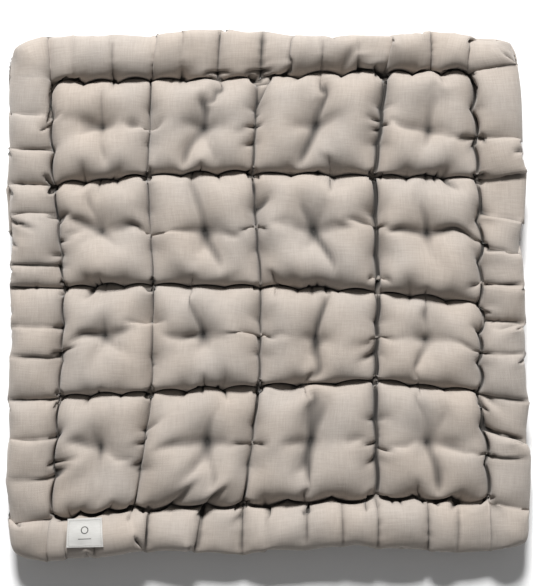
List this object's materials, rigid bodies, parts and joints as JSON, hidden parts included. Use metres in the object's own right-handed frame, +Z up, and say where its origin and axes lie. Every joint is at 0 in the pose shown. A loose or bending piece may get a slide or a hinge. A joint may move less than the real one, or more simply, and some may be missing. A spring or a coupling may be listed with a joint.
{
  "type": "floor cushion",
  "caption": "Square tufted floor cushion: fibre filling in a two-panel cotton cover, quilted by hand-sewn seams and ties inside a border roll, with a small sewn label.",
  "frame": {"origin": "middle of the square footprint, at the floor", "axes": "+Z up through the thickness, +Y to the far side, +X to the right; the label is near the left near corner"},
  "size_m": [1, 1, 0.1],
  "materials": {
    "cover_fabric": "matte",
    "sewing_thread": "matte",
    "fibre": "matte",
    "label_fabric": "matte"
  },
  "bodies": {
    "root": {"top_panel": "cover_fabric", "bottom_panel": "cover_fabric", "fibre_fill": "fibre", "cross_seam_thread_1": "sewing_thread", "cross_seam_thread_2": "sewing_thread", "cross_seam_thread_3": "sewing_thread", "cross_seam_thread_4": "sewing_thread", "cross_seam_thread_5": "sewing_thread", "long_seam_thread_1": "sewing_thread", "long_seam_thread_2": "sewing_thread", "long_seam_thread_3": "sewing_thread", "long_seam_thread_4": "sewing_thread", "long_seam_thread_5": "sewing_thread", "tuft_tie_1_1": "sewing_thread", "tuft_tie_1_2": "sewing_thread", "tuft_tie_1_3": "sewing_thread", "tuft_tie_1_4": "sewing_thread", "tuft_tie_2_1": "sewing_thread", "tuft_tie_2_2": "sewing_thread", "tuft_tie_2_3": "sewing_thread", "tuft_tie_2_4": "sewing_thread", "tuft_tie_3_1": "sewing_thread", "tuft_tie_3_2": "sewing_thread", "tuft_tie_3_3": "sewing_thread", "tuft_tie_3_4": "sewing_thread", "tuft_tie_4_1": "sewing_thread", "tuft_tie_4_2": "sewing_thread", "tuft_tie_4_3": "sewing_thread", "tuft_tie_4_4": "sewing_thread", "edge_seam_thread": "sewing_thread", "label": "label_fabric", "label_stitching": "label_fabric"}
  },
  "joints": []
}
